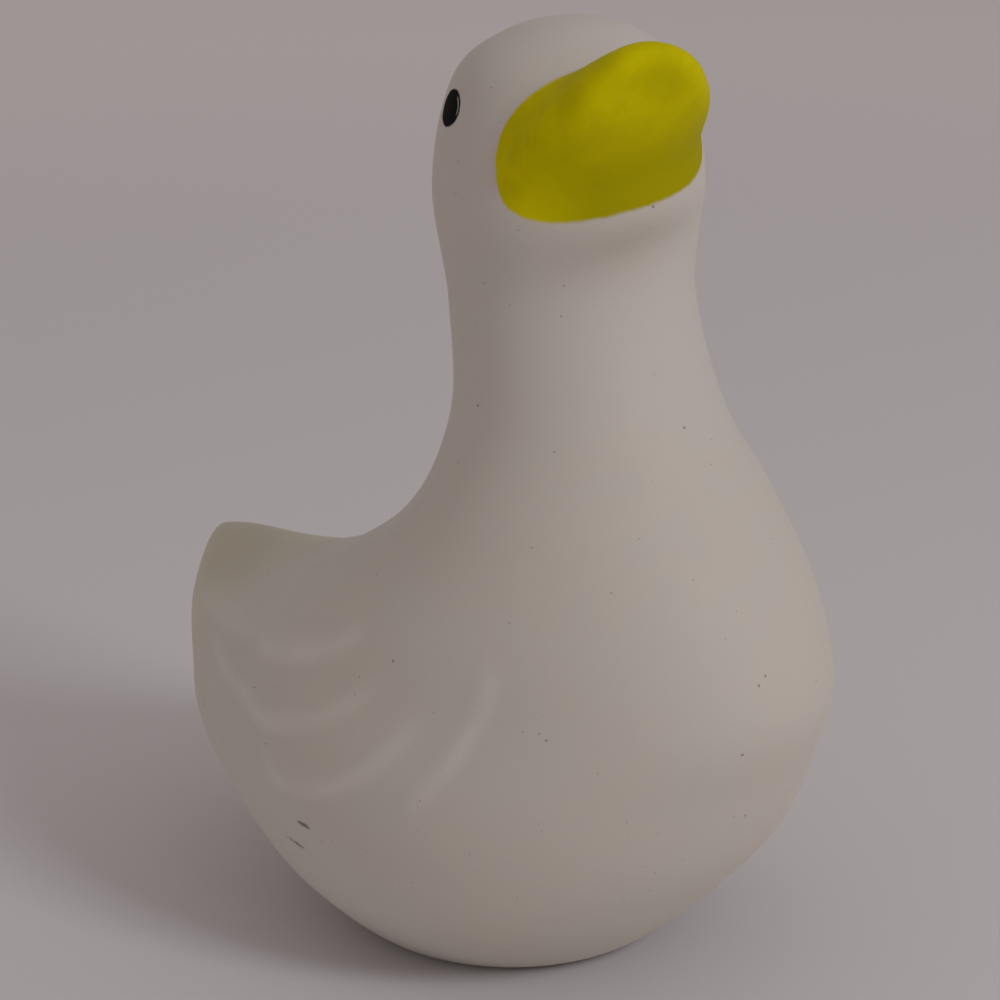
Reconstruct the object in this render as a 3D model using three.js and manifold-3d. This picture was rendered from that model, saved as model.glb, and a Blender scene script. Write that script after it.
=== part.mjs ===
// A slip-cast porcelain duck: one hollow shell with a flat foot, a vent hole in the foot,
// a long neck and a broad upturned bill. Millimetres, +Z up, the breast towards -Y.

import * as THREE from 'three';
import { mergeVertices } from 'three/addons/utils/BufferGeometryUtils.js';
import Module from 'manifold-3d';

// Overall sizes, measured from the line through the middle of the body (y = 0).
const height = 100;
const breastReach = 41;
const tailReach = 48;
const bodyWidth = 58;

// Foot, neck and head. Each line is the y of that part's middle.
const footLength = 33;
const footWidth = 32;
const footLine = -1;
const neckWidth = 25;
const neckLine = -10.2;
const headWidth = 28;
const headLine = -9.65;
const headLevel = 85.5;

// The upturned tail: how far its ridge is lifted, the ridge's half width, and where the lift runs.
const tailLift = 3.2;
const tailRidge = 7.1;
const tailLiftStart = 16.5;
const tailLiftEnd = 44;

// The casting: wall and vent hole.
const wall = 4;
const ventDiameter = 12;
const ventLine = -7;

// The bill, in degrees seen from the middle of the head, and millimetres of lift off the head.
const bill = {
  halfSpan: 56,
  top: 47,
  corner: 13,
  bottom: -12,
  crest: 33.5,
  crestDrop: 26,
  tipSpan: 33.5,
  reach: 12.3,
  flankReach: 3.5,
  rounding: 8,
};

// The head is turned to the duck's right and cocked to that side, in degrees.
const headTurn = 20;
const headTilt = 10.5;

// Fineness of the skin: points around, their crowding towards breast and tail, steps between ribs.
const pointsAround = 76;
const crowding = 0.4;
const bodySteps = 2;
const tailSteps = 4;
const neckSteps = 3;
const billSteps = 16;
const crownSteps = 5;
const hollowPointsAround = 28;
const hollowSteps = 2;
const ventSides = 32;

// Each rib has a breast point and a back point [y, z], a half width, the share of the way from
// breast to back where it is widest, and how pointed its back half is.
const breast = (share) => -share * breastReach;
const tail = (share) => share * tailReach;
const up = (share) => share * height;
const flank = (share) => (share * bodyWidth) / 2;
const neckFront = (share) => neckLine - share * neckWidth;
const neckBack = (share) => neckLine + share * neckWidth;
const headFront = (share) => headLine - share * headWidth;
const headBack = (share) => headLine + share * headWidth;

const rib = (front, back, half, widest = 0.5, point = 1) => ({ front, back, half, widest, point });

// backShares says how far the five ribs from the hip to the tail's root reach towards the tail's end.
function ribsReaching(backShares, pointed) {
  const [hip, rump, tailUnder, tailEnd, tailRoot] = backShares.map(tail);
  const point = (extra) => 1 + extra * pointed;
  return [
    rib([footLine - footLength / 2, 0], [footLine + footLength / 2, 0], footWidth / 2),
    rib([breast(0.53), up(0.03)], [tail(0.44), up(0.05)], flank(0.715)),
    rib([breast(0.68), up(0.09)], [hip, up(0.12)], flank(0.915), 0.48),
    rib([breast(0.825), up(0.16)], [rump, up(0.208)], flank(1), 0.46),
    rib([breast(0.927), up(0.245)], [tailUnder, up(0.257)], flank(0.995), 0.45, point(0.2)),
    rib([breast(1), up(0.335)], [tailEnd, up(0.311)], flank(0.93), 0.46, point(0.62)),
    rib([breast(0.928), up(0.44)], [tailRoot, up(0.331)], flank(0.85), 0.47),
    rib([breast(0.786), up(0.53)], [tail(0.207), up(0.458)], flank(0.667), 0.48, point(0.2)),
    rib([neckFront(0.663), up(0.615)], [neckBack(0.477), up(0.579)], 0.572 * neckWidth),
    rib([neckFront(0.511), up(0.73)], [neckBack(0.488), up(0.705)], 0.514 * neckWidth),
    rib([headFront(0.506), up(0.84)], [headBack(0.492), up(0.83)], 0.493 * headWidth),
    rib([headFront(0.428), up(0.94)], [headBack(0.41), up(0.94)], 0.42 * headWidth),
    rib([headFront(0.232), up(0.99)], [headBack(0.216), up(0.985)], 0.232 * headWidth),
    rib([headLine, height], [headLine, height], 0),
  ];
}

const blend = (a, b, c, d, u) =>
  0.5 * (2 * b + (c - a) * u + (2 * a - 5 * b + 4 * c - d) * u * u + (3 * b - a - 3 * c + d) * u ** 3);

// Past the crown the last rib comes back reversed, so that the head closes smoothly.
function ribAt(ribs, t) {
  const last = ribs.length - 1;
  const i = Math.min(Math.floor(t), last - 1);
  const u = t - i;
  const flat = (r) => [...r.front, ...r.back, r.half, r.widest, r.point];
  const mirrored = (r) => [...r.back, ...r.front, -r.half, r.widest, r.point];
  const b = flat(ribs[i]);
  const c = flat(ribs[i + 1]);
  const a = i > 0 ? flat(ribs[i - 1]) : b.map((value, k) => 2 * value - c[k]);
  const d = i + 2 <= last ? flat(ribs[i + 2]) : mirrored(ribs[last - 1]);
  const v = b.map((value, k) => blend(a[k], value, c[k], d[k], u));
  return rib([v[0], v[1]], [v[2], v[3]], v[4], v[5], v[6]);
}

// A point of the plain skin: t counts ribs from the foot, angle runs from the breast round to it.
function plainSkin(ribs, t, angle) {
  const r = ribAt(ribs, t);
  const along = Math.cos(angle);
  const across = Math.sin(angle);
  const end = along >= 0 ? r.front : r.back;
  const middle = [0, 1].map((k) => r.front[k] + (r.back[k] - r.front[k]) * r.widest);
  const point = along >= 0 ? 1 : r.point;
  return new THREE.Vector3(
    r.half * Math.sign(across) * Math.abs(across) ** point,
    middle[0] + (end[0] - middle[0]) * Math.abs(along),
    middle[1] + (end[1] - middle[1]) * Math.abs(along),
  );
}

const clampTo = THREE.MathUtils.clamp;

// The smaller of two heights, with the edge between them rounded.
function softMin(a, b, rounding) {
  const near = Math.max(rounding - Math.abs(a - b), 0) / rounding;
  return Math.min(a, b) - (near * near * rounding) / 4;
}

// How far the bill stands off the head at a turn and a rise from its own forward direction.
function billLift(turn, rise) {
  const side = Math.abs(turn) / bill.halfSpan;
  if (side >= 1) {
    return 0;
  }
  const top = bill.corner + (bill.top - bill.corner) * (1 - side ** 2.4) ** (1 / 2.4);
  const bottom = bill.corner - (bill.corner - bill.bottom) * (1 - side ** 2.6) ** (1 / 2.6);
  const highest = Math.max(top, bottom + 6) - 3;
  const drop = (bill.crestDrop * (Math.hypot(side, 0.2) - 0.2)) / 0.82;
  const crest = clampTo(bill.crest - drop, bottom + 3, highest);
  const tip = Math.exp(-((Math.abs(turn) / bill.tipSpan) ** 2.5));
  const reach = bill.flankReach * (1 - side ** 2) + (bill.reach - bill.flankReach) * tip;
  const under = reach * Math.max(0, (rise - bottom) / (crest - bottom)) ** 2.8;
  const over = reach * Math.max(0, (top - rise) / Math.max(top - crest, 1)) ** 1.2;
  return Math.max(0, softMin(under, over, Math.min(bill.rounding, reach)));
}

const headMiddle = new THREE.Vector3(0, headLine, headLevel);
const headPose = new THREE.Matrix4().makeRotationFromEuler(
  new THREE.Euler(
    0,
    -THREE.MathUtils.degToRad(headTilt),
    -THREE.MathUtils.degToRad(headTurn),
    'ZYX',
  ),
);
const headPoseBack = headPose.clone().invert();

function withBill(point) {
  const out = point.clone().sub(headMiddle);
  const local = out.clone().applyMatrix4(headPoseBack);
  const turn = THREE.MathUtils.radToDeg(Math.atan2(local.x, -local.y));
  const rise = THREE.MathUtils.radToDeg(Math.atan2(local.z, Math.hypot(local.x, local.y)));
  return point.clone().addScaledVector(out.normalize(), billLift(turn, rise));
}

// The ridge of the tail turns up over the back half of the ribs above the rump.
const rumpRib = 3.4;
const tailEndRib = 5;

function withTail(point, t, angle) {
  const { smoothstep } = THREE.MathUtils;
  const ridge = Math.cos(angle) < 0 ? Math.exp(-((point.x / tailRidge) ** 2)) : 0;
  const alongTail = smoothstep(point.y, tailLiftStart, tailLiftEnd);
  const lifted = point.clone();
  lifted.z += tailLift * ridge * alongTail * smoothstep(t, rumpRib, tailEndRib);
  return lifted;
}

// A skin starts as a lathe with one profile point per row, whose vertices then go to their places.
function closedSkin(rows, around, place) {
  const profile = rows.map((_, k) => new THREE.Vector2(k === 0 || k === rows.length - 1 ? 0 : 1, k));
  const geometry = new THREE.LatheGeometry(profile, around);
  const position = geometry.getAttribute('position');
  for (let n = 0; n < position.count; n += 1) {
    const step = Math.floor(n / rows.length) % around;
    const turn = (step / around) * 2 * Math.PI;
    const p = place(n % rows.length, turn - (crowding / 2) * Math.sin(2 * turn));
    position.setXYZ(n, p.x, p.y, p.z);
  }
  geometry.deleteAttribute('normal');
  geometry.deleteAttribute('uv');
  return mergeVertices(geometry, 1e-4);
}

const wasm = await Module();
wasm.setup();

function toSolid(geometry) {
  const index = geometry.getIndex().array;
  const corners = [];
  for (let n = 0; n < index.length; n += 3) {
    const [a, b, c] = [index[n], index[n + 1], index[n + 2]];
    if (a !== b && b !== c && c !== a) {
      corners.push(a, b, c);
    }
  }
  const mesh = (order) =>
    new wasm.Mesh({
      numProp: 3,
      vertProperties: new Float32Array(geometry.getAttribute('position').array),
      triVerts: new Uint32Array(order),
    });
  const solid = new wasm.Manifold(mesh(corners));
  return solid.volume() > 0 ? solid : new wasm.Manifold(mesh(corners.reverse()));
}

function toGeometry(solid) {
  const mesh = solid.getMesh();
  const geometry = new THREE.BufferGeometry();
  geometry.setAttribute('position', new THREE.BufferAttribute(new Float32Array(mesh.vertProperties), 3));
  geometry.setIndex(new THREE.BufferAttribute(new Uint32Array(mesh.triVerts), 1));
  return geometry;
}

// Rows of the outside: the middle of the foot, then ribs from its rim to the crown.
const outerRibs = ribsReaching([0.575, 0.79, 0.9, 1, 0.69], 1);
const crownRib = outerRibs.length - 1;
const tailStartRib = 3;
const tailStopRib = 7;
const neckRib = 8;
const billStartRib = 9.5;
const billEndRib = 12;

// The columns of points follow the turn of the head, so that they crowd along the bill.
const twist = THREE.MathUtils.degToRad(headTurn);
const twistRib = 7;

function rowsBetween(first, last, steps) {
  const count = Math.round((last - first) * steps);
  return Array.from({ length: count }, (_, k) => first + k / steps);
}

function outerSkin() {
  const rows = [
    null,
    ...rowsBetween(0, tailStartRib, bodySteps),
    ...rowsBetween(tailStartRib, tailStopRib, tailSteps),
    ...rowsBetween(tailStopRib, neckRib, bodySteps),
    ...rowsBetween(neckRib, billStartRib, neckSteps),
    ...rowsBetween(billStartRib, billEndRib, billSteps),
    ...rowsBetween(billEndRib, crownRib, crownSteps),
    crownRib,
  ];
  return closedSkin(rows, pointsAround, (row, angle) => {
    if (rows[row] === null) {
      return new THREE.Vector3(0, footLine, 0);
    }
    const turned = angle - twist * THREE.MathUtils.smoothstep(rows[row], twistRib, billStartRib);
    const point = plainSkin(outerRibs, rows[row], turned);
    return withBill(withTail(point, rows[row], turned));
  });
}

// The hollow lies one wall inside a skin with no bill and a short tail, so that those ends are solid.
const hollowRibs = ribsReaching([0.51, 0.57, 0.55, 0.5, 0.4], 0);
const hollowStart = 1.5;
const probe = 0.01;

function innerPoint(t, angle) {
  const p = plainSkin(hollowRibs, t, angle);
  const onward = plainSkin(hollowRibs, t + probe, angle).sub(p);
  const around = plainSkin(hollowRibs, t, angle + probe).sub(p);
  const outward = around.cross(onward).normalize();
  return p.addScaledVector(outward, -wall);
}

function hollowSkin() {
  const rows = [null, 0, ...rowsBetween(hollowStart, crownRib, hollowSteps), crownRib];
  return closedSkin(rows, hollowPointsAround, (row, angle) => {
    if (rows[row] === null) {
      return new THREE.Vector3(0, footLine, wall);
    }
    if (rows[row] === crownRib) {
      return new THREE.Vector3(0, headLine, height - wall);
    }
    if (rows[row] === 0) {
      return plainSkin(hollowRibs, 0, angle).setZ(wall);
    }
    return innerPoint(rows[row], angle);
  });
}

function ventCylinder() {
  const geometry = new THREE.CylinderGeometry(ventDiameter / 2, ventDiameter / 2, 4 * wall, ventSides);
  geometry.rotateX(Math.PI / 2);
  geometry.translate(0, ventLine, 0);
  geometry.deleteAttribute('normal');
  geometry.deleteAttribute('uv');
  return mergeVertices(geometry, 1e-4);
}

function duckGeometry() {
  const shell = toSolid(outerSkin()).subtract(toSolid(hollowSkin())).subtract(toSolid(ventCylinder()));
  const geometry = toGeometry(shell);
  geometry.computeBoundingBox();
  const middle = geometry.boundingBox.getCenter(new THREE.Vector3());
  geometry.translate(-middle.x, -middle.y, 0);
  geometry.computeVertexNormals();
  return geometry;
}

const porcelain = new THREE.MeshStandardMaterial({ color: 0xd8cfc4, roughness: 0.75, metalness: 0 });

const figurine = new THREE.Group();
const duck = new THREE.Mesh(duckGeometry(), porcelain);
duck.name = 'duck_figurine';
figurine.add(duck);

export default figurine;
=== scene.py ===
# %% [markdown]
# # A matt porcelain duck
# The duck is one hollow casting: body, neck, head, bill and tail came out of the mould together.
# Its yellow bill and black eyes are paint on that same skin.
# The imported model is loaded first, because it fixes where everything is and how large it is.
# The sizes of the duck's shape are in millimetres, until the mesh is made in metres.
# The rims' height, the places on the finished skin, the floor and the lamp are in metres.

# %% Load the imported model
import math
import bpy
import bmesh
import numpy as np
from mathutils import Matrix, Vector


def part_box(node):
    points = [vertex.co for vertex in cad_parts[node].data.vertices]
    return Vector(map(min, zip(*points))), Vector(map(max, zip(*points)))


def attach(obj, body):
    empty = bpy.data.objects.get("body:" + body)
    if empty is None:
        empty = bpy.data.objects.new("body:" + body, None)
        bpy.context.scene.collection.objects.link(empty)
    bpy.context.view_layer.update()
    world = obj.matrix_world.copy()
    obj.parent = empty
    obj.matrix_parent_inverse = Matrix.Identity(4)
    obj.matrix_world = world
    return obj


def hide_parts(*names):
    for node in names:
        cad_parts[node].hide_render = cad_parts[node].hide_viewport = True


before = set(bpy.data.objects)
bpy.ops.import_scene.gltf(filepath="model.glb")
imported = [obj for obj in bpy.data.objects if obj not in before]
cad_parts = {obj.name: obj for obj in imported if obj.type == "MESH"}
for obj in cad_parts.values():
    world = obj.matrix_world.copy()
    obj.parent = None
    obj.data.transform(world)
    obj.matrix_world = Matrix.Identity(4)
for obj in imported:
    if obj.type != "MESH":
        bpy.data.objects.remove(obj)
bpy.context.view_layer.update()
node_low, node_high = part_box("duck_figurine")
print("CAD box", [round(v, 5) for v in node_low], [round(v, 5) for v in node_high])

# %% [markdown]
# ## The ribs
# A bird's body could be sculpted, or grown from a subdivided cage.
# Here it is a loft, as a model maker would draw it: ribs from the foot to the crown, each with a
# breast point, a back point and a half width, and a smooth curve through all of them.
# That keeps the skin within a millimetre of the CAD model's.

# %% Sizes and ribs
HEIGHT = 100.0
BREAST_REACH, TAIL_REACH, BODY_WIDTH = 41.0, 48.0, 58.0
FOOT_LENGTH, FOOT_WIDTH, FOOT_LINE = 33.0, 32.0, -1.0
NECK_WIDTH, NECK_LINE = 25.0, -10.2
HEAD_WIDTH, HEAD_LINE, HEAD_LEVEL = 28.0, -9.65, 85.5
WALL, VENT_RADIUS, VENT_LINE = 4.0, 6.0, -7.0


def ribs_reaching(back_shares, pointed):
    """Rows of breast y, breast z, back y, back z, half width, widest share, point of the back."""
    hip, rump, tail_under, tail_end, tail_root = [share * TAIL_REACH for share in back_shares]
    breast = lambda share: -share * BREAST_REACH
    flank = lambda share: share * BODY_WIDTH / 2
    up = lambda share: share * HEIGHT
    neck = lambda share: NECK_LINE + share * NECK_WIDTH
    head = lambda share: HEAD_LINE + share * HEAD_WIDTH
    point = lambda extra: 1 + extra * pointed
    foot = FOOT_LENGTH / 2
    return np.array([
        [FOOT_LINE - foot, 0, FOOT_LINE + foot, 0, FOOT_WIDTH / 2, 0.5, 1],
        [breast(0.53), up(0.03), 0.44 * TAIL_REACH, up(0.05), flank(0.715), 0.5, 1],
        [breast(0.68), up(0.09), hip, up(0.12), flank(0.915), 0.48, 1],
        [breast(0.825), up(0.16), rump, up(0.208), flank(1), 0.46, 1],
        [breast(0.927), up(0.245), tail_under, up(0.257), flank(0.995), 0.45, point(0.2)],
        [breast(1), up(0.335), tail_end, up(0.311), flank(0.93), 0.46, point(0.62)],
        [breast(0.928), up(0.44), tail_root, up(0.331), flank(0.85), 0.47, 1],
        [breast(0.786), up(0.53), 0.207 * TAIL_REACH, up(0.458), flank(0.667), 0.48, point(0.2)],
        [neck(-0.663), up(0.615), neck(0.477), up(0.579), 0.572 * NECK_WIDTH, 0.5, 1],
        [neck(-0.511), up(0.73), neck(0.488), up(0.705), 0.514 * NECK_WIDTH, 0.5, 1],
        [head(-0.506), up(0.84), head(0.492), up(0.83), 0.493 * HEAD_WIDTH, 0.5, 1],
        [head(-0.428), up(0.94), head(0.41), up(0.94), 0.42 * HEAD_WIDTH, 0.5, 1],
        [head(-0.232), up(0.99), head(0.216), up(0.985), 0.232 * HEAD_WIDTH, 0.5, 1],
        [HEAD_LINE, HEIGHT, HEAD_LINE, HEIGHT, 0, 0.5, 1],
    ])


OUTER_RIBS = ribs_reaching([0.575, 0.79, 0.9, 1, 0.69], 1)
HOLLOW_RIBS = ribs_reaching([0.51, 0.57, 0.55, 0.5, 0.4], 0)
CROWN = len(OUTER_RIBS) - 1
print("ribs from foot to crown:", len(OUTER_RIBS))


# %% A smooth curve through the ribs
def loft(ribs, t, angle):
    """Points of the skin for rows t (in ribs) and columns angle (0 at the breast)."""
    past = ribs[-2][[2, 3, 0, 1, 4, 5, 6]] * np.array([1, 1, 1, 1, -1, 1, 1])
    chain = np.vstack([2 * ribs[0] - ribs[1], ribs, past])
    i = np.minimum(t.astype(int), len(ribs) - 2)
    u = (t - i)[:, None]
    a, b, c, d = chain[i], chain[i + 1], chain[i + 2], chain[i + 3]
    bend, twist = 2 * a - 5 * b + 4 * c - d, 3 * b - a - 3 * c + d
    rib = 0.5 * (2 * b + (c - a) * u + bend * u**2 + twist * u**3)
    front, back, half, widest, point = rib[:, 0:2], rib[:, 2:4], rib[:, 4], rib[:, 5], rib[:, 6]
    middle = front + (back - front) * widest[:, None]
    along, across = np.cos(angle), np.sin(angle)
    ahead = along >= 0
    reach = np.where(ahead[None, :, None], (front - middle)[:, None], (back - middle)[:, None])
    skin = np.zeros((len(t), len(angle), 3))
    skin[..., 1:] = middle[:, None] + reach * np.abs(along)[None, :, None]
    power = np.where(ahead[None], 1.0, point[:, None])
    skin[..., 0] = half[:, None] * np.sign(across) * np.abs(across)[None] ** power
    return skin


def smooth_step(x, low, high):
    u = np.clip((x - low) / (high - low), 0, 1)
    return u * u * (3 - 2 * u)


def row_steps(*stretches):
    """Rows of t from (start, end, count) stretches, the last end included."""
    rows = [np.linspace(start, end, count, endpoint=False) for start, end, count in stretches]
    return np.append(np.concatenate(rows), stretches[-1][1])


# Columns crowd a little towards the flanks. A stretch of rows runs from rib to rib, and the
# stretches over the wings and the face have the most rows.
COLUMNS = 320
CROWDING = -0.1
ROW_STRETCHES = [(0, 0.3, 8), (0.3, 2.5, 22), (2.5, 7.2, 104),
                 (7.2, 9.5, 36), (9.5, 12.2, 76), (12.2, CROWN, 14)]
even = np.arange(COLUMNS) / COLUMNS * 2 * math.pi
angle = even - CROWDING / 2 * np.sin(2 * even)
rows = row_steps(*ROW_STRETCHES)
skin = loft(OUTER_RIBS, rows, angle)
print("outer skin", skin.shape[0], "rows of", skin.shape[1])

# %% [markdown]
# ## Tail and bill
# The tail's ridge turns up at its end, so the back of the loft is lifted there.
# The bill is a broad spoon pressed out of the face. It could be a second body joined on, but on the
# real duck it flows into the cheeks, so the skin itself is pushed out from the middle of the head.
# How far depends on two angles seen from there, turn and rise, in a head that looks to the duck's
# right and is cocked to that side. A shallow crease below the bill sets it off from the throat.

# %% Lift the tail
TAIL_LIFT, TAIL_RIDGE, TAIL_LIFT_START, TAIL_LIFT_END = 3.2, 7.1, 16.5, 44.0
LIFT_FROM_RIB, LIFT_FULL_RIB = 3.4, 5
on_back = (np.cos(angle) < 0)[None]
ridge = np.exp(-((skin[..., 0] / TAIL_RIDGE) ** 2)) * on_back
along_tail = smooth_step(skin[..., 1], TAIL_LIFT_START, TAIL_LIFT_END)
up_the_ribs = smooth_step(rows, LIFT_FROM_RIB, LIFT_FULL_RIB)[:, None]
skin[..., 2] += TAIL_LIFT * ridge * along_tail * up_the_ribs
print("tail end at", skin[..., 1].max().round(2), "mm behind the middle")

# %% Push out the bill
HEAD_TURN, HEAD_TILT = math.radians(20), math.radians(10.5)
BILL_HALF, BILL_TOP, BILL_CORNER, BILL_BOTTOM = 56.0, 47.0, 13.0, -12.0
BILL_CREST, BILL_CREST_DROP, BILL_TIP_SPAN = 33.5, 26.0, 33.5
BILL_REACH, BILL_FLANK, BILL_ROUNDING = 12.3, 3.5, 8.0
CREST_BEND, CREST_RUN, CREST_MARGIN = 0.2, 0.82, 3
TOP_CURVE, BOTTOM_CURVE, TIP_CURVE, UNDER_CURVE, OVER_CURVE = 2.4, 2.6, 2.5, 2.8, 1.2
THROAT_DEPTH, THROAT_RISE, THROAT_HALF_RISE, THROAT_HALF_TURN = 0.95, -33.0, 12.5, 42
FACE_FROM_RIB = 8.2

head_middle = np.array([0, HEAD_LINE, HEAD_LEVEL])
forward = np.array([-math.sin(HEAD_TURN), -math.cos(HEAD_TURN), 0])
level_right = np.array([-math.cos(HEAD_TURN), math.sin(HEAD_TURN), 0])
head_right = level_right * math.cos(HEAD_TILT) - np.array([0, 0, math.sin(HEAD_TILT)])
head_up = level_right * math.sin(HEAD_TILT) + np.array([0, 0, math.cos(HEAD_TILT)])


def turn_and_rise(out):
    """Degrees to the duck's right and upwards of directions from the middle of the head."""
    ahead, right, up = out @ forward, out @ head_right, out @ head_up
    return np.degrees(np.arctan2(right, ahead)), np.degrees(np.arctan2(up, np.hypot(ahead, right)))


def bill_edges(turn, bottom_curve):
    """Share of the way to the bill's corner, and the rise of its upper and lower edge there."""
    side = np.clip(np.abs(turn) / BILL_HALF, 0, 0.9999)
    top = BILL_CORNER + (BILL_TOP - BILL_CORNER) * (1 - side**TOP_CURVE) ** (1 / TOP_CURVE)
    below = (1 - side**bottom_curve) ** (1 / bottom_curve)
    bottom = BILL_CORNER - (BILL_CORNER - BILL_BOTTOM) * below
    return side, top, bottom


def bill_lift(turn, rise):
    """How far the bill stands off the face: the lower of two slopes that meet at a rounded crest."""
    side, top, bottom = bill_edges(turn, BOTTOM_CURVE)
    drop = BILL_CREST_DROP * (np.hypot(side, CREST_BEND) - CREST_BEND) / CREST_RUN
    highest = np.maximum(top, bottom + 2 * CREST_MARGIN) - CREST_MARGIN
    crest = np.clip(BILL_CREST - drop, bottom + CREST_MARGIN, highest)
    tip = np.exp(-(np.abs(turn / BILL_TIP_SPAN) ** TIP_CURVE))
    reach = BILL_FLANK * (1 - side**2) + (BILL_REACH - BILL_FLANK) * tip
    under = reach * np.maximum(0, (rise - bottom) / (crest - bottom)) ** UNDER_CURVE
    over = reach * np.maximum(0, (top - rise) / np.maximum(top - crest, 1)) ** OVER_CURVE
    rounding = np.minimum(BILL_ROUNDING, reach) + 1e-6
    near = np.maximum(rounding - np.abs(under - over), 0) / rounding
    lift = np.maximum(0, np.minimum(under, over) - near * near * rounding / 4)
    return np.where(np.abs(turn) < BILL_HALF, lift, 0)


out = skin - head_middle
turn, rise = turn_and_rise(out)
on_head = (rows > FACE_FROM_RIB)[:, None]
lift = bill_lift(turn, rise) * on_head
throat_up, throat_across = (rise - THROAT_RISE) / THROAT_HALF_RISE, turn / THROAT_HALF_TURN
crease = THROAT_DEPTH * np.exp(-(throat_up**2) - throat_across**2) * on_head
skin += out / np.linalg.norm(out, axis=2)[..., None] * (lift - crease)[..., None]
print("bill stands off the face by up to", lift.max().round(2), "mm")

# %% [markdown]
# ## Paint lines
# The yellow and the black were brushed on, so their edges are drawn on the skin and not in its shape.
# A painted image would need the skin unwrapped, and its edges would be as coarse as its pixels.
# Instead each corner of the mesh keeps how far it is inside or outside a paint line: the bill's in
# degrees, the eyes' as a share of their size. The material turns that into a soft brushed edge.
# Two more values say where shade is painted in: deeper yellow low on the bill, and darker clay under it.

# %% Distances to the paint lines
EYE_TURN, EYE_RISE, EYE_HALF_TURN, EYE_HALF_RISE = 95.0, 35.4, 12.0, 7.8
PAINT_BOTTOM_CURVE = 3.3
FAR_FROM_BILL, FAR_FROM_EYE = 9, 5
DEEP_SPAN, DEEP_SHARE, DEEP_FULL_TURN, DEEP_NO_TURN = 38, 0.7, 12, 44
DIM_RISE, DIM_HALF_RISE, DIM_TURN, DIM_HALF_TURN = -26, 14, 12, 42

side, top, bottom = bill_edges(turn, PAINT_BOTTOM_CURVE)
between_edges, past_corner = np.maximum(rise - top, bottom - rise), np.abs(turn) - BILL_HALF + 1
bill_paint = np.where(np.abs(turn) < BILL_HALF, between_edges, past_corner)
bill_paint = np.where(on_head, np.minimum(bill_paint, FAR_FROM_BILL), FAR_FROM_BILL)
# Painted shade: the yellow deepens towards the bill's lower edge and fades out towards its corner on the
# duck's right.
low_down = smooth_step(1 - (rise - bottom) / DEEP_SPAN, 0, DEEP_SHARE)
bill_painted_shade = low_down * (1 - smooth_step(turn, DEEP_FULL_TURN, DEEP_NO_TURN)) * (bill_paint < 1)
dim_up, dim_across = (rise - DIM_RISE) / DIM_HALF_RISE, (turn - DIM_TURN) / DIM_HALF_TURN
# Painted shade: a darker patch of clay just under the bill.
painted_shade_under_bill = np.exp(-(dim_up**2) - dim_across**2) * on_head
eye_across = (np.abs(turn) - EYE_TURN) / EYE_HALF_TURN
eye_up = (rise - EYE_RISE) / EYE_HALF_RISE
eye_paint = np.where(on_head, np.minimum(np.hypot(eye_across, eye_up), FAR_FROM_EYE), FAR_FROM_EYE)
print("corners inside the bill's line:", int((bill_paint < 0).sum()))
print("corners inside the eyes' lines:", int((eye_paint < 1).sum()))

# %% [markdown]
# ## Wing feathers
# Each wing is a fan of nested feather lobes in very low relief, the same on both flanks.
# A rim rises slowly from inside its lobe and falls away quickly outside.
# Because every rim follows that one rule, a Geometry Nodes tree raises them all: the mesh code only
# says how far each corner is from each rim, seen from the side, and where a highlight is painted
# along the rims.

# %% Rims, as points of y and z seen from the duck's side
FEATHER_RIMS = {
    "inner": [(13.3, 35.6), (11.4, 33.9), (8.2, 33.9), (3.2, 35.2), (-0.4, 36.8), (-4.1, 39.1),
              (-5.2, 41.0)],
    "middle": [(24.6, 34.0), (22.1, 32.3), (19.6, 30.7), (15.2, 29.6), (11.6, 29.1), (9.5, 28.1),
               (6.8, 27.5), (1.5, 28.6), (-1.9, 30.3), (-5.4, 32.8), (-8.3, 35.1), (-10.9, 37.4)],
    "lower": [(6.5, 27.1), (6.2, 25.1), (5.4, 23.0), (3.2, 22.1), (-0.6, 22.4), (-4.5, 23.6),
              (-8.0, 25.7), (-10.5, 28.4), (-12.7, 31.3), (-14.9, 34.2)],
    "front": [(-12.4, 22.0), (-13.4, 23.1), (-15.5, 25.5), (-17.2, 28.1), (-18.8, 31.0), (-20.1, 34.1),
              (-20.7, 36.4), (-20.8, 38.6), (-20.2, 41.2)],
}


def rounded_line(points, passes=3):
    """The same line with its corners cut again and again."""
    line = np.array(points, float)
    for _ in range(passes):
        cut = np.empty((2 * len(line) - 2, 2))
        cut[0::2] = 0.75 * line[:-1] + 0.25 * line[1:]
        cut[1::2] = 0.25 * line[:-1] + 0.75 * line[1:]
        line = np.vstack([line[:1], cut, line[-1:]])
    return line


def signed_distance(points, line):
    """Distance of points to a line, positive on its left as it runs, and the share run so far."""
    best = np.full(len(points), np.inf)
    sign = np.ones(len(points))
    share = np.zeros(len(points))
    run = np.concatenate([[0], np.cumsum(np.linalg.norm(np.diff(line, axis=0), axis=1))])
    for k in range(len(line) - 1):
        step = line[k + 1] - line[k]
        to = points - line[k]
        u = np.clip((to @ step) / (step @ step), 0, 1)
        away = to - u[:, None] * step
        distance = np.hypot(away[:, 0], away[:, 1])
        closer = distance < best
        best = np.where(closer, distance, best)
        sign = np.where(closer, np.sign(step[0] * to[:, 1] - step[1] * to[:, 0]), sign)
        share = np.where(closer, (run[k] + u * (run[k + 1] - run[k])) / run[-1], share)
    return best * sign, share


# %% Distances to the rims, and how strong each rim is along its length
RIM_SHARES = {"inner": 1.0, "middle": 1.0, "lower": 0.95, "front": 0.75}
RIM_START_TAPER, RIM_END_TAPER = 0.25, 0.3
RIM_WAVE, RIM_WAVES = 0.15, 16
HIGHLIGHT_HALF_WIDTH = 1.0
FLANK_FROM, FLANK_FULL = 11, 16
WING_FROM_RIB, WING_TO_RIB = 2, 8

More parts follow.
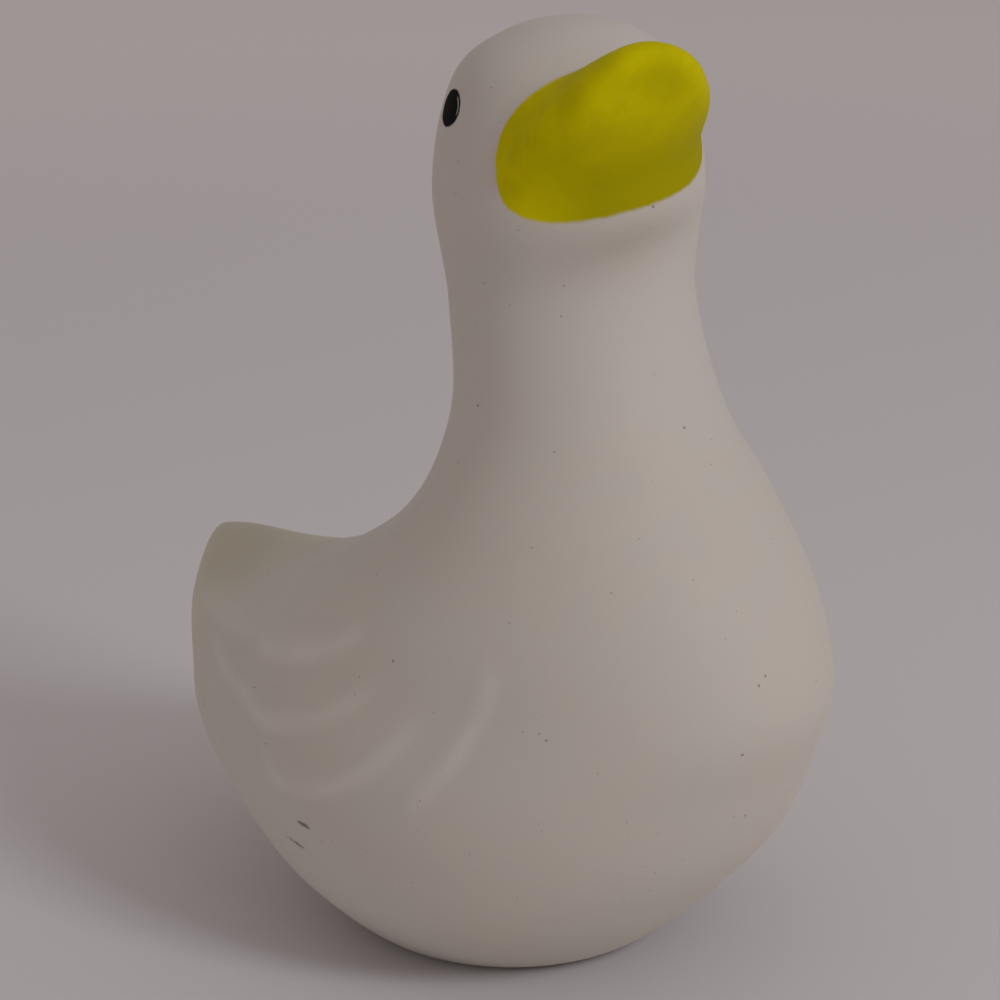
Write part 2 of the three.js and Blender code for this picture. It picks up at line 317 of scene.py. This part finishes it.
flank_points = skin[..., 1:].reshape(-1, 2)
wing_rows = np.repeat((rows > WING_FROM_RIB) & (rows < WING_TO_RIB), COLUMNS)
on_flank = smooth_step(np.abs(skin[..., 0]).ravel(), FLANK_FROM, FLANK_FULL) * wing_rows
rim_distance, rim_strength = {}, {}
rim_painted_highlight = np.zeros(len(flank_points))
for name, points in FEATHER_RIMS.items():
    distance, share = signed_distance(flank_points, rounded_line(points))
    rim_distance[name] = -distance
    tapered = smooth_step(share, 0, RIM_START_TAPER) * smooth_step(1 - share, 0, RIM_END_TAPER)
    tapered *= 1 - RIM_WAVE + RIM_WAVE * np.sin(RIM_WAVES * share)
    rim_strength[name] = RIM_SHARES[name] * on_flank * tapered
    # Painted highlight: the clay is lighter along each rim, where the raised edge catches the light.
    rim_painted_highlight = np.maximum(rim_painted_highlight, rim_strength[name] * np.exp(-((distance / HIGHLIGHT_HALF_WIDTH) ** 2)))
    print("rim", name, "nearest corner", round(float(np.abs(distance).min()), 3), "mm away")

# %% [markdown]
# ## One closed skin
# A slip-cast figure is a shell: slip is poured into a plaster mould, and what hasn't stiffened is
# poured out again through the hole in the foot. So the skin doesn't stop at the foot.
# It runs under it to the vent hole, up through the wall and round the inside to the crown, as one
# grid of rows. Its only two loose ends are the two crowns, and each closes in one point.
# Solidify could give the wall too, but it would also hollow out the bill and the end of the tail,
# which are solid on a casting like this.

# %% Foot, vent and inside
FOOT_ROUNDING, FOOT_TUCK, VENT_ROUNDING = 0.9, 0.8, 0.5
FOOT_RINGS, INSIDE_RINGS = 8, 20
INSIDE_FROM_RIB, INSIDE_SHORT_OF_CROWN = 1.5, 0.25
VENT_BENDS = (30, 60, 90)
VENT_LIPS = [(2.0, 0), (3.5, 0), (3.85, 0.15), (WALL, 0.5)]
PROBE = 0.01


def vent_ring(radius, z):
    """One turn of the vent's wall, with as many corners as a row of the skin."""
    x, y = radius * np.sin(angle), VENT_LINE - radius * np.cos(angle)
    return np.stack([x, y, np.full_like(angle, z)], axis=1)


low = np.clip(1 - skin[..., 2] / FOOT_ROUNDING, 0, 1) * (rows < 1)[:, None]
inset = FOOT_ROUNDING * (1 - np.sqrt(1 - low**2)) * FOOT_TUCK
flat_out = skin[..., :2] - np.array([0, FOOT_LINE])
skin[..., :2] -= flat_out / np.linalg.norm(flat_out, axis=2)[..., None] * inset[..., None]

under_foot = []
vent_rim = vent_ring(VENT_RADIUS + VENT_ROUNDING, 0)
for share in np.linspace(0, 1, FOOT_RINGS + 1)[1:]:
    under_foot.append(skin[0] + (vent_rim - skin[0]) * share)
for bend in np.radians(VENT_BENDS):
    radius = VENT_RADIUS + VENT_ROUNDING * (1 - math.sin(bend))
    under_foot.append(vent_ring(radius, VENT_ROUNDING * (1 - math.cos(bend))))
for height, widening in VENT_LIPS:
    under_foot.append(vent_ring(VENT_RADIUS + widening, height))
inside_foot = loft(HOLLOW_RIBS, np.array([0.0]), angle)[0] + np.array([0, 0, WALL])
for share in (0.5, 1):
    under_foot.append(under_foot[-1] + (inside_foot - under_foot[-1]) * share)

inner_rows = np.linspace(INSIDE_FROM_RIB, CROWN - INSIDE_SHORT_OF_CROWN, INSIDE_RINGS)
inner = loft(HOLLOW_RIBS, inner_rows, angle)
onward = loft(HOLLOW_RIBS, inner_rows + PROBE, angle) - inner
around = loft(HOLLOW_RIBS, inner_rows, angle + PROBE) - inner
outward = np.cross(around, onward)
inner -= WALL * outward / np.linalg.norm(outward, axis=2)[..., None]
inner_crown = np.array([0, HEAD_LINE, HEIGHT - WALL])
print("vent", 2 * VENT_RADIUS, "mm wide, wall", WALL, "mm")

# %% Make the mesh
shift = np.array([0, -(skin[..., 1].min() + skin[..., 1].max()) / 2, 0])
outer_count = len(rows) - 1
grid = np.concatenate([skin[:-1][::-1], np.array(under_foot), inner])
corners = np.vstack([[[0, HEAD_LINE, HEIGHT]], grid.reshape(-1, 3), [inner_crown]]) + shift
ROWS = len(grid)
faces = []
for c in range(COLUMNS):
    n = (c + 1) % COLUMNS
    faces.append((0, 1 + c, 1 + n))
    for r in range(ROWS - 1):
        a, b = 1 + r * COLUMNS + c, 1 + r * COLUMNS + n
        faces.append((a, a + COLUMNS, b + COLUMNS, b))
    last = 1 + (ROWS - 1) * COLUMNS
    faces.append((last + c, len(corners) - 1, last + n))

duck_mesh = bpy.data.meshes.new("duck_skin")
duck_mesh.from_pydata((corners / 1000).tolist(), [], faces)
duck_mesh.update()
duck = bpy.data.objects.new("duck_skin", duck_mesh)
bpy.context.scene.collection.objects.link(duck)
work = bmesh.new()
work.from_mesh(duck_mesh)
if work.calc_volume(signed=True) < 0:
    bmesh.ops.reverse_faces(work, faces=work.faces)
print("duck:", len(work.verts), "corners,", len(work.faces), "faces")
print("volume", round(work.calc_volume() * 1e6, 1), "cm3")
work.to_mesh(duck_mesh)
work.free()


# %% Keep the distances on the mesh
def keep_on_mesh(name, outer_values, elsewhere):
    """Stores one value per corner: the outer skin's own, and one value for foot and inside."""
    values = np.full(len(corners), elsewhere, np.float32)
    table = np.asarray(outer_values).reshape(len(rows), COLUMNS)
    values[0] = table[-1, 0]
    values[1:1 + outer_count * COLUMNS] = table[:-1][::-1].ravel()
    attribute = duck_mesh.attributes.new(name, "FLOAT", "POINT")
    attribute.data.foreach_set("value", values)


FAR_FROM_RIM = 20
keep_on_mesh("bill_paint", bill_paint, FAR_FROM_BILL)
keep_on_mesh("bill_painted_shade", bill_painted_shade, 0)
keep_on_mesh("painted_shade_under_bill", painted_shade_under_bill, 0)
keep_on_mesh("eye_paint", eye_paint, FAR_FROM_EYE)
keep_on_mesh("eye_across", np.clip(eye_across, -FAR_FROM_EYE, FAR_FROM_EYE), FAR_FROM_EYE)
keep_on_mesh("eye_up", np.clip(eye_up, -FAR_FROM_EYE, FAR_FROM_EYE), FAR_FROM_EYE)
keep_on_mesh("rim_painted_highlight", rim_painted_highlight, 0)
for name in FEATHER_RIMS:
    keep_on_mesh("rim_" + name, np.clip(rim_distance[name], -FAR_FROM_RIM, FAR_FROM_RIM), FAR_FROM_RIM)
    keep_on_mesh("strength_" + name, rim_strength[name], 0)
print("attributes:", len(duck_mesh.attributes))

# %% [markdown]
# ## Raise the feathers
# The tree reads each rim's distance and strength, shapes them with two ramps, adds the rims up and
# moves the skin along its normal. Height and both widths are inputs, so the relief can be made
# bolder or softer without touching the mesh. The height is in metres, the widths in millimetres.

# %% The feather tree
RIM_SIZES = {"Rim height": 0.00028, "Soft side": 2.6, "Sharp side": 1.5}


def feather_tree(rim_names, surface):
    """A tree that raises the named rims, and the identifiers of its inputs for their sizes."""
    tree = bpy.data.node_groups.new("raise_feather_rims", "GeometryNodeTree")
    face = tree.interface
    face.new_socket("Geometry", in_out="INPUT", socket_type="NodeSocketGeometry")
    sizes = {}
    for label, value in RIM_SIZES.items():
        socket = face.new_socket(label, in_out="INPUT", socket_type="NodeSocketFloat")
        socket.default_value = value
        sizes[label] = socket.identifier
    face.new_socket("Geometry", in_out="OUTPUT", socket_type="NodeSocketGeometry")
    node, link = tree.nodes.new, tree.links.new
    given, result = node("NodeGroupInput"), node("NodeGroupOutput")

    def named(name):
        reader = node("GeometryNodeInputNamedAttribute")
        reader.data_type = "FLOAT"
        reader.inputs["Name"].default_value = name
        return reader.outputs["Attribute"]

    def math_node(operation, first, second):
        step = node("ShaderNodeMath")
        step.operation = operation
        for socket, value in zip(step.inputs, (first, second)):
            if isinstance(value, (int, float)):
                socket.default_value = value
            else:
                link(value, socket)
        return step.outputs[0]

    def ramp(value, from_low, from_high, to_low, to_high):
        step = node("ShaderNodeMapRange")
        step.interpolation_type = "SMOOTHSTEP"
        for label, entry in zip(("Value", "From Min", "From Max", "To Min", "To Max"),
                                (value, from_low, from_high, to_low, to_high)):
            if isinstance(entry, (int, float)):
                step.inputs[label].default_value = entry
            else:
                link(entry, step.inputs[label])
        return step.outputs["Result"]

    total = 0.0
    for name in rim_names:
        distance = named("rim_" + name)
        outside = math_node("MULTIPLY", given.outputs["Sharp side"], -1.0)
        falling = ramp(distance, outside, 0.0, 0.0, 1.0)
        rising = ramp(distance, 0.0, given.outputs["Soft side"], 1.0, 0.0)
        rim = math_node("MULTIPLY", math_node("MULTIPLY", falling, rising), named("strength_" + name))
        total = math_node("ADD", rim, total)
    offset = node("ShaderNodeVectorMath")
    offset.operation = "SCALE"
    link(node("GeometryNodeInputNormal").outputs[0], offset.inputs[0])
    link(math_node("MULTIPLY", total, given.outputs["Rim height"]), offset.inputs["Scale"])
    move = node("GeometryNodeSetPosition")
    whole = node("GeometryNodeRealizeInstances")
    finish = node("GeometryNodeSetMaterial")
    link(given.outputs["Geometry"], move.inputs["Geometry"])
    link(offset.outputs[0], move.inputs["Offset"])
    link(move.outputs[0], whole.inputs[0])
    link(whole.outputs[0], finish.inputs["Geometry"])
    finish.inputs["Material"].default_value = surface
    link(finish.outputs[0], result.inputs[0])
    return tree, sizes


# %% [markdown]
# ## The finish
# The porcelain is unglazed: matt, off-white, faintly clouded, with a fine tooth and a few pinholes
# where air came out of the slip. Painted shade darkens the clay under the bill, painted highlights
# lighten the feather rims, and the tail has a faint yellowish stain. The paint shines even less than
# the clay and follows its own lines.
# Three materials could meet at the paint lines, but then every edge would follow the mesh's corners.
# One material with a soft threshold on the stored distances gives edges that don't, and a little
# noise makes them brushed.


# %% Small helpers for the material
def srgb(r, g, b):
    """A colour as it is written on screen, 0 to 255, turned into the linear values nodes use."""
    shares = (r / 255, g / 255, b / 255)
    linear = [v / 12.92 if v <= 0.04045 else ((v + 0.055) / 1.055) ** 2.4 for v in shares]
    return (*linear, 1.0)


class Finish:
    """Adds nodes to one material and returns their outputs."""

    def __init__(self, name):
        self.material = bpy.data.materials.new(name)
        self.material.use_nodes = True
        self.tree = self.material.node_tree
        self.shader = self.tree.nodes["Principled BSDF"]

    def put(self, socket, value):
        if isinstance(value, bpy.types.NodeSocket):
            self.tree.links.new(value, socket)
        else:
            socket.default_value = value

    def add(self, kind, settings=(), out=0, **inputs):
        step = self.tree.nodes.new(kind)
        for key, value in dict(settings).items():
            setattr(step, key, value)
        for key, value in inputs.items():
            place = int(key[1:]) if key[0] == "_" else key.replace("_", " ")
            self.put(step.inputs[place], value)
        return step.outputs[out]

    def calc(self, operation, first, second=0.0):
        return self.add("ShaderNodeMath", {"operation": operation}, _0=first, _1=second)

    def times(self, first, second):
        return self.calc("MULTIPLY", first, second)

    def ramp(self, value, low, high, at_low=0.0, at_high=1.0):
        return self.add("ShaderNodeMapRange", {"interpolation_type": "SMOOTHSTEP"},
                        _0=value, _1=low, _2=high, _3=at_low, _4=at_high)

    def mix(self, share, first, second):
        step = self.tree.nodes.new("ShaderNodeMix")
        step.data_type = "RGBA"
        self.put(step.inputs[0], share)
        self.put(step.inputs[6], first)
        self.put(step.inputs[7], second)
        return step.outputs[2]

    def noise(self, where, scale, detail=2.0, roughness=0.5):
        return self.add("ShaderNodeTexNoise", Vector=where, Scale=scale, Detail=detail, Roughness=roughness)

    def vector(self, operation, first, second=(0, 0, 0), out=0):
        return self.add("ShaderNodeVectorMath", {"operation": operation}, out=out, _0=first, _1=second)

    def split(self, vector):
        step = self.tree.nodes.new("ShaderNodeSeparateXYZ")
        self.put(step.inputs[0], vector)
        return tuple(step.outputs)

    def stored(self, name):
        return self.add("ShaderNodeAttribute", {"attribute_name": name}, out=2)


# %% Clay
CLAY, CLAY_WARM, CLAY_COOL = srgb(169, 162, 157), srgb(170, 162, 154), srgb(168, 162, 159)
CLAY_PAINTED_HIGHLIGHT, CLAY_TAIL, CLAY_PAINTED_SHADE = srgb(188, 181, 176), srgb(169, 162, 148), srgb(132, 122, 113)
CLOUD_SCALE, FINE_CLOUD_SCALE = 38.0, 240.0
RIM_HIGHLIGHT_SHARE, PAINTED_SHADE_SHARE = 0.45, 0.4
STAIN_FROM, STAIN_FULL = 0.016, 0.038

porcelain = Finish("matt_porcelain")
where = porcelain.add("ShaderNodeTexCoord", out=3)
cloud = porcelain.ramp(porcelain.noise(where, CLOUD_SCALE, 3.0), 0.35, 0.65)
tint = porcelain.mix(cloud, CLAY_COOL, CLAY_WARM)
fine_noise = porcelain.noise(where, FINE_CLOUD_SCALE, 4.0, 0.6)
fine_cloud = porcelain.ramp(fine_noise, 0.3, 0.7, 0.15, 0.85)
clay = porcelain.mix(fine_cloud, tint, CLAY)
# Painted highlight along the feather rims.
clay = porcelain.mix(porcelain.times(porcelain.stored("rim_painted_highlight"), RIM_HIGHLIGHT_SHARE), clay, CLAY_PAINTED_HIGHLIGHT)
# Painted shade under the bill, mixed into the clay.
clay = porcelain.mix(porcelain.times(porcelain.stored("painted_shade_under_bill"), PAINTED_SHADE_SHARE), clay, CLAY_PAINTED_SHADE)
across, along_body, _ = porcelain.split(where)
clay = porcelain.mix(porcelain.ramp(along_body, STAIN_FROM, STAIN_FULL), clay, CLAY_TAIL)
print("clay:", len(porcelain.tree.nodes), "nodes so far")

# %% Yellow on the bill
YELLOW, YELLOW_STREAK_AND_SHADE = srgb(178, 167, 0), srgb(141, 131, 4)
BILL_WANDER, BILL_EDGE_IN, BILL_EDGE_OUT = 1.6, -1.3, 0.9
BRUSH_SCALE, STREAK_SCALE, STREAK_SHARE = 900.0, 160.0, 0.4

brush = porcelain.calc("SUBTRACT", porcelain.noise(where, BRUSH_SCALE, 2.0), 0.5)
bill_line = porcelain.calc("ADD", porcelain.stored("bill_paint"), porcelain.times(brush, BILL_WANDER))
bill_mask = porcelain.ramp(bill_line, BILL_EDGE_IN, BILL_EDGE_OUT, 1.0, 0.0)
streak = porcelain.ramp(porcelain.noise(where, STREAK_SCALE, 4.0, 0.6), 0.3, 0.7)
yellow = porcelain.mix(porcelain.times(streak, STREAK_SHARE), YELLOW, YELLOW_STREAK_AND_SHADE)
# Painted shade low on the bill. The streaks above are the paint's own uneven tone.
yellow = porcelain.mix(porcelain.stored("bill_painted_shade"), yellow, YELLOW_STREAK_AND_SHADE)
painted = porcelain.mix(bill_mask, clay, yellow)
print("bill:", len(porcelain.tree.nodes), "nodes so far")

# %% Black eyes, each with a painted glint at its front
BLACK, EYE_GLINT = srgb(14, 12, 13), srgb(140, 135, 130)
EYE_WANDER, EYE_EDGE_IN, EYE_EDGE_OUT = 0.12, 0.94, 1.06
ARC_STARTS, ARC_ENDS, ARC_FRONT = (0.76, 0.81), (0.84, 0.89), (-0.5, -0.3)
ARC_LEVEL, ARC_HEIGHT = 0.2, (0.3, 0.55)

eye_line = porcelain.calc("ADD", porcelain.stored("eye_paint"), porcelain.times(brush, EYE_WANDER))
eye_mask = porcelain.ramp(eye_line, EYE_EDGE_IN, EYE_EDGE_OUT, 1.0, 0.0)
arc_inside = porcelain.ramp(eye_line, *ARC_STARTS)
arc_outside = porcelain.ramp(eye_line, *ARC_ENDS, 1.0, 0.0)
eye_front = porcelain.ramp(porcelain.stored("eye_across"), *ARC_FRONT, 1.0, 0.0)
off_level = porcelain.calc("ABSOLUTE", porcelain.calc("SUBTRACT", porcelain.stored("eye_up"), ARC_LEVEL))
near_level = porcelain.ramp(off_level, *ARC_HEIGHT, 1.0, 0.0)
# Painted glint: a pale crescent inside the front edge of each eye.
painted_glint = porcelain.times(porcelain.times(porcelain.times(arc_inside, arc_outside), eye_front), near_level)
painted = porcelain.mix(eye_mask, painted, BLACK)
painted = porcelain.mix(painted_glint, painted, EYE_GLINT)
print("eyes:", len(porcelain.tree.nodes), "nodes so far")

# %% Pinholes, in two sizes of cell
PINHOLE = srgb(74, 66, 60)
PINHOLE_RAG, PINHOLE_SOFT, PINHOLE_FULL = 0.03, -0.018, 0.85
RAG_SCALE = 2400.0
PINHOLE_KINDS = [
    {"cells": 300.0, "none_below": 0.25, "largest": 0.065, "dark": 0.65},
    {"cells": 640.0, "none_below": 0.25, "largest": 0.08, "dark": 0.45},
]

rag = porcelain.calc("SUBTRACT", porcelain.noise(where, RAG_SCALE, 1.0), 0.5)
ragged_edge = porcelain.times(rag, PINHOLE_RAG)
pinhole = 0.0
for kind in PINHOLE_KINDS:
    spread = {"Vector": where, "Scale": kind["cells"], "Randomness": 1.0}
    away = porcelain.calc("ADD", porcelain.add("ShaderNodeTexVoronoi", **spread), ragged_edge)
    chance = porcelain.add("ShaderNodeTexVoronoi", out=1, **spread)
    radius = porcelain.ramp(chance, kind["none_below"], PINHOLE_FULL, 0.0, kind["largest"])
    inside = porcelain.calc("SUBTRACT", away, radius)
    hole = porcelain.ramp(inside, PINHOLE_SOFT, 0.0, kind["dark"], 0.0)
    pinhole = porcelain.calc("MAXIMUM", pinhole, hole)
pinhole = porcelain.times(pinhole, porcelain.calc("SUBTRACT", 1.0, bill_mask))
painted = porcelain.mix(pinhole, painted, PINHOLE)
print("pinholes:", len(porcelain.tree.nodes), "nodes so far")

# %% Two old scratches on the right flank, as ends of y and z seen from that side
SCRATCH = srgb(84, 72, 68)
SCRATCHES = [((0.8, 18.5), (-1.1, 18.2)), ((2.9, 15.7), (0.4, 15.2))]
SCRATCH_HALF_WIDTH, SCRATCH_STRETCH, SCRATCH_WANDER = 0.00034, 1.15, 1.8
SCRATCH_SHARE, SCRATCH_EDGE = 0.85, (0.3, 1.1)
RIGHT_FLANK = (-0.02, -0.01)

side_view = porcelain.vector("MULTIPLY", where, (0, 1, 1))
scratch_mask = 0.0
for start, end in SCRATCHES:
    a, b = (np.array([0, *start]) + shift) / 1000, (np.array([0, *end]) + shift) / 1000
    middle, half = (a + b) / 2, np.linalg.norm(b - a) / 2
    along = (b - a) / np.linalg.norm(b - a)
    away = porcelain.vector("SUBTRACT", side_view, tuple(middle))
    run = porcelain.vector("DOT_PRODUCT", away, tuple(along), out=1)
    far = porcelain.vector("LENGTH", away, out=1)
    beside_squared = porcelain.calc("SUBTRACT", porcelain.times(far, far), porcelain.times(run, run))
    beside = porcelain.calc("SQRT", porcelain.calc("MAXIMUM", beside_squared, 0.0))
    long_way = porcelain.calc("DIVIDE", run, half * SCRATCH_STRETCH)
    wide_way = porcelain.calc("DIVIDE", beside, SCRATCH_HALF_WIDTH)
    squares = porcelain.times(long_way, long_way), porcelain.times(wide_way, wide_way)
    spindle = porcelain.calc("SQRT", porcelain.calc("ADD", *squares))
    ragged = porcelain.calc("ADD", spindle, porcelain.times(brush, SCRATCH_WANDER))
    scratch = porcelain.ramp(ragged, *SCRATCH_EDGE, 1.0, 0.0)
    scratch_mask = porcelain.calc("MAXIMUM", scratch_mask, scratch)
on_right = porcelain.ramp(across, *RIGHT_FLANK, 1.0, 0.0)
scratch_mask = porcelain.times(scratch_mask, on_right)
painted = porcelain.mix(porcelain.times(scratch_mask, SCRATCH_SHARE), painted, SCRATCH)
print("scratches:", len(porcelain.tree.nodes), "nodes so far")

# %% Tooth, roughness and shine
TOOTH_SCALE, MARK_DEPTH, BUMP_STRENGTH, BUMP_DISTANCE = 2600.0, 2.0, 0.3, 0.00006
ROUGH_LOW, ROUGH_HIGH = 0.62, 0.74
CLAY_SHINE, PAINT_SHINE = 0.3, 0.02

tooth = porcelain.noise(where, TOOTH_SCALE, 3.0, 0.6)
marks = porcelain.times(porcelain.calc("MAXIMUM", pinhole, scratch_mask), MARK_DEPTH)
relief = porcelain.calc("SUBTRACT", tooth, marks)
bump = porcelain.add("ShaderNodeBump", Strength=BUMP_STRENGTH, Distance=BUMP_DISTANCE, Height=relief)
roughness = porcelain.ramp(fine_cloud, 0.0, 1.0, ROUGH_LOW, ROUGH_HIGH)
in_paint = porcelain.calc("MAXIMUM", eye_mask, bill_mask)
shine = porcelain.ramp(in_paint, 0.0, 1.0, CLAY_SHINE, PAINT_SHINE)
porcelain.put(porcelain.shader.inputs["Base Color"], painted)
porcelain.put(porcelain.shader.inputs["Roughness"], roughness)
porcelain.put(porcelain.shader.inputs["Normal"], bump)
porcelain.put(porcelain.shader.inputs["Specular IOR Level"], shine)
print("material", porcelain.material.name, "has", len(porcelain.tree.nodes), "nodes")

# %% Raise the rims and keep the result
duck_mesh.materials.append(porcelain.material)
tree, sizes = feather_tree(list(FEATHER_RIMS), porcelain.material)
raising = duck.modifiers.new("raise_feather_rims", "NODES")
raising.node_group = tree
for label, value in RIM_SIZES.items():
    raising[sizes[label]] = value
view = bpy.context.evaluated_depsgraph_get()
raised_mesh = bpy.data.meshes.new_from_object(
    duck.evaluated_get(view), preserve_all_data_layers=True, depsgraph=view)
duck.modifiers.remove(raising)
duck.data = raised_mesh
raised_mesh.name = "duck_skin"
raised_mesh.polygons.foreach_set("use_smooth", [True] * len(raised_mesh.polygons))
raised_mesh.update()
triangles = sum(len(face.vertices) - 2 for face in raised_mesh.polygons)
print("raised skin:", len(raised_mesh.polygons), "faces,", triangles, "triangles")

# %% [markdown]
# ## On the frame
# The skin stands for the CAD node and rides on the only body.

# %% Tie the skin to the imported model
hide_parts("duck_figurine")
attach(duck, "root")

# %% [markdown]
# ## Floor, light and camera
# A pale matt floor reaches past the picture's edges, so that no horizon shows.
# Painted light makes its colour a little lighter with distance, and it throws back more light than
# the camera sees on it: a white table would do the same, but would itself come out too bright beside
# the duck.
# One soft lamp stands to the right, and an even pale world fills the shadows, as in a light tent.
# The camera looks at the duck's right front from a little above.

# %% Floor
FLOOR_HALF = 6
FLOOR_NEAR, FLOOR_FAR, FLOOR_BOUNCE = srgb(184, 179, 182), srgb(198, 192, 195), srgb(235, 230, 227)
FLOOR_NEAR_TO, FLOOR_FAR_FROM, FLOOR_ROUGHNESS = 0.15, 0.9, 0.9

floor_mesh = bpy.data.meshes.new("floor")
floor_corners = [(x * FLOOR_HALF, y * FLOOR_HALF, 0) for x, y in ((-1, -1), (1, -1), (1, 1), (-1, 1))]
floor_mesh.from_pydata(floor_corners, [], [(0, 1, 2, 3)])
floor = bpy.data.objects.new("floor", floor_mesh)
bpy.context.scene.collection.objects.link(floor)
cloth = Finish("pale_floor")
from_duck = cloth.vector("LENGTH", cloth.add("ShaderNodeTexCoord", out=3), out=1)
# Painted light: the floor's colour lightens with distance from the duck.
far = cloth.ramp(from_duck, FLOOR_NEAR_TO, FLOOR_FAR_FROM)
by_camera = cloth.add("ShaderNodeLightPath", out=0)
seen = cloth.mix(far, FLOOR_NEAR, FLOOR_FAR)
cloth.put(cloth.shader.inputs["Base Color"], cloth.mix(by_camera, FLOOR_BOUNCE, seen))
cloth.shader.inputs["Roughness"].default_value = FLOOR_ROUGHNESS
floor_mesh.materials.append(cloth.material)
print("floor", 2 * FLOOR_HALF, "m across")

# %% Camera
VIEW_TURN, VIEW_RISE = math.radians(-45), math.radians(16.6)
VIEW_DISTANCE, LENS, SENSOR, CLIP_START = 280.0, 93.4, 36.0, 0.01
AIM_LEVEL, AIM_DROP = 50.0, 2.5
level_back = np.array([math.sin(VIEW_TURN), -math.cos(VIEW_TURN), 0.0])
back = level_back * math.cos(VIEW_RISE) + np.array([0, 0, math.sin(VIEW_RISE)])
right = np.array([math.cos(VIEW_TURN), math.sin(VIEW_TURN), 0.0])
upward = np.cross(back, right)
aim = np.array([0, 0, AIM_LEVEL]) - AIM_DROP * upward + shift
camera_data = bpy.data.cameras.new("camera")
camera_data.lens, camera_data.sensor_width = LENS, SENSOR
camera_data.clip_start = CLIP_START
camera = bpy.data.objects.new("camera", camera_data)
bpy.context.scene.collection.objects.link(camera)
pose = np.eye(4)
pose[:3] = np.column_stack([right, upward, back, (aim + VIEW_DISTANCE * back) / 1000])
camera.matrix_world = Matrix(pose.tolist())
bpy.context.scene.camera = camera
print("camera at", (aim + VIEW_DISTANCE * back).round(1), "mm")

# %% Light
LAMP_WATTS, LAMP_SIZE, LAMP_DISTANCE, LAMP_LEVEL = 2.6, 0.22, 0.8, 0.045
LAMP_RIGHT, LAMP_UP, LAMP_BACK = 0.73, 0.62, 0.66
LAMP_COLOUR = (0.95, 0.98, 1.0)
WORLD_COLOUR, WORLD_STRENGTH = srgb(255, 247, 243), 0.55

towards_camera = np.array([back[0], back[1], 0])
lamp_way = right * LAMP_RIGHT + np.array([0, 0, LAMP_UP]) + towards_camera * LAMP_BACK
lamp_way /= np.linalg.norm(lamp_way)
lamp_data = bpy.data.lights.new("broad_lamp", "AREA")
lamp_data.energy, lamp_data.size = LAMP_WATTS, LAMP_SIZE
lamp_data.color = LAMP_COLOUR
lamp = bpy.data.objects.new("broad_lamp", lamp_data)
bpy.context.scene.collection.objects.link(lamp)
lamp.location = (lamp_way * LAMP_DISTANCE + np.array([0, 0, LAMP_LEVEL])).tolist()
lamp.rotation_euler = Vector(lamp_way.tolist()).to_track_quat("Z", "Y").to_euler()
world = bpy.data.worlds.new("light_tent")
bpy.context.scene.world = world
world.use_nodes = True
world.node_tree.nodes["Background"].inputs["Color"].default_value = WORLD_COLOUR
world.node_tree.nodes["Background"].inputs["Strength"].default_value = WORLD_STRENGTH
bpy.context.scene.view_settings.view_transform = "Standard"
print("lamp at", [round(v, 3) for v in lamp.location], "m")
